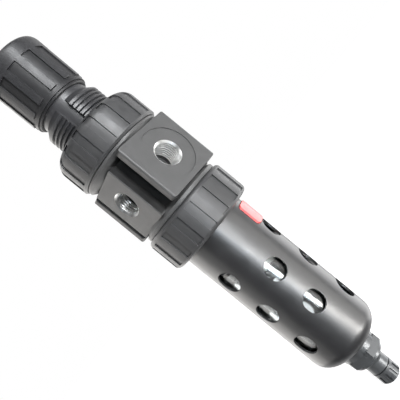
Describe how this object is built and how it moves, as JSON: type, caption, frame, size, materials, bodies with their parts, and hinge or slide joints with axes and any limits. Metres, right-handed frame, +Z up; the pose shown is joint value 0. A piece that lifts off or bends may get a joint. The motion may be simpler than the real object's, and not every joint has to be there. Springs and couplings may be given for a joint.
{
  "type": "filter regulator",
  "caption": "Compressed-air filter regulator with two clamp rings, push-lock knob, open gauge port, clear bowl in a drilled black guard, red latch and turn drain.",
  "frame": {"origin": "on the main axis at the seat of the panel thread, level with the top of the upper clamp ring", "axes": "+Z up the main axis towards the knob, +X out of the outlet port, -Y out of the open gauge port"},
  "size_m": [0.0528, 0.0528, 0.2469],
  "materials": {
    "cast_paint": "fine-grained dark grey powder coat on die-cast zinc",
    "ring_plastic": "moulded glass-filled nylon, satin",
    "black_acetal": "moulded acetal, satin",
    "white_acetal": "natural acetal",
    "guard_paint": "satin black enamel on drawn steel",
    "clear_bowl": "clear polycarbonate",
    "porous_filter": "sintered porous polyethylene",
    "spring_steel": "drawn wire",
    "zinc_steel": "zinc plated",
    "aluminium": "turned",
    "brass": "turned",
    "rubber": "moulded nitrile",
    "rubber_grey": "grey fibre-filled gasket",
    "red_plastic": "moulded, bright red",
    "drain_metal": "black nickel on turned brass, worn to metal on its edges"
  },
  "bodies": {
    "regulator_body": {"body_casting": "cast_paint", "bonnet": "black_acetal", "thrust_washer": "brass", "range_spring": "spring_steel", "diaphragm": "rubber", "valve_seat": "brass", "valve_spring": "spring_steel", "valve_carrier": "white_acetal", "carrier_seal": "rubber", "deflector": "black_acetal", "filter_element": "porous_filter", "baffle": "black_acetal", "gauge_plug": "zinc_steel"},
    "screw": {"adjusting_screw": "zinc_steel"},
    "knob": {"adjusting_knob": "ring_plastic", "detent_ring": "spring_steel"},
    "nut": {"spring_nut": "zinc_steel"},
    "diaphragm_stack": {"diaphragm_plate": "aluminium", "relief_seat": "brass"},
    "poppet": {"valve_poppet": "brass", "poppet_disc": "rubber"},
    "slip": {"slip_ring": "white_acetal"},
    "top_ring": {"bonnet_ring": "ring_plastic"},
    "bowl_set": {"bowl": "clear_bowl", "bowl_seal": "rubber", "bowl_guard": "guard_paint", "drain_gasket": "rubber_grey", "drain_body": "drain_metal"},
    "lower_ring": {"bowl_ring": "ring_plastic"},
    "latch": {"latch_tab": "red_plastic"},
    "drain_needle": {"drain_stem": "brass", "drain_seal": "rubber"},
    "drain_cap": {"drain_knob": "drain_metal"}
  },
  "joints": [
    {"name": "knob_turn", "type": "hinge", "parent": "regulator_body", "child": "screw", "pos_m": [0, 0, 0.033], "axis": [0, 0, -1], "range_deg": [0, 2880]},
    {"name": "knob_lock", "type": "slide", "parent": "screw", "child": "knob", "axis": [0, 0, -1], "range_m": [0, 0.003]},
    {"name": "nut_travel", "type": "slide", "parent": "regulator_body", "child": "nut", "axis": [0, 0, -1], "range_m": [0, 0.01], "deforming": ["range_spring"]},
    {"name": "diaphragm_stroke", "type": "slide", "parent": "regulator_body", "child": "diaphragm_stack", "axis": [0, 0, -1], "range_m": [0, 0.0012], "stiffness_N_per_m": 300, "deforming": ["diaphragm"]},
    {"name": "poppet_stroke", "type": "slide", "parent": "regulator_body", "child": "poppet", "axis": [0, 0, -1], "range_m": [0, 0.0012], "stiffness_N_per_m": 600, "springref_m": -0.004, "deforming": ["valve_spring"]},
    {"name": "slip_lift", "type": "slide", "parent": "regulator_body", "child": "slip", "axis": [0, 0, 1], "range_m": [0, 0.0075]},
    {"name": "bonnet_ring_turn", "type": "hinge", "parent": "slip", "child": "top_ring", "pos_m": [0, 0, -0.01], "axis": [0, 0, 1], "range_deg": [0, 900]},
    {"name": "bowl_drop", "type": "slide", "parent": "regulator_body", "child": "bowl_set", "axis": [0, 0, -1], "range_m": [0, 0.0075]},
    {"name": "bowl_ring_turn", "type": "hinge", "parent": "bowl_set", "child": "lower_ring", "pos_m": [0, 0, -0.069], "axis": [0, 0, -1], "range_deg": [0, 900]},
    {"name": "latch_press", "type": "slide", "parent": "bowl_set", "child": "latch", "axis": [-0.8746, -0.4848, 0], "range_m": [0, 0.0011], "stiffness_N_per_m": 900, "springref_m": -0.0005},
    {"name": "drain_turn", "type": "hinge", "parent": "bowl_set", "child": "drain_cap", "pos_m": [0, 0, -0.191], "axis": [0, 0, 1], "range_deg": [0, 360]},
    {"name": "drain_lift", "type": "slide", "parent": "bowl_set", "child": "drain_needle", "axis": [0, 0, 1], "range_m": [0, 0.0015]}
  ],
  "couplings": [
    {"joint": "nut_travel", "follows": "knob_turn", "m_per_rad": 0.0001989},
    {"joint": "poppet_stroke", "follows": "diaphragm_stroke", "ratio": 1},
    {"joint": "bonnet_ring_turn", "follows": "slip_lift", "rad_per_m": 2094.4},
    {"joint": "bowl_ring_turn", "follows": "bowl_drop", "rad_per_m": 2094.4},
    {"joint": "drain_turn", "follows": "drain_lift", "rad_per_m": 4188.8}
  ]
}
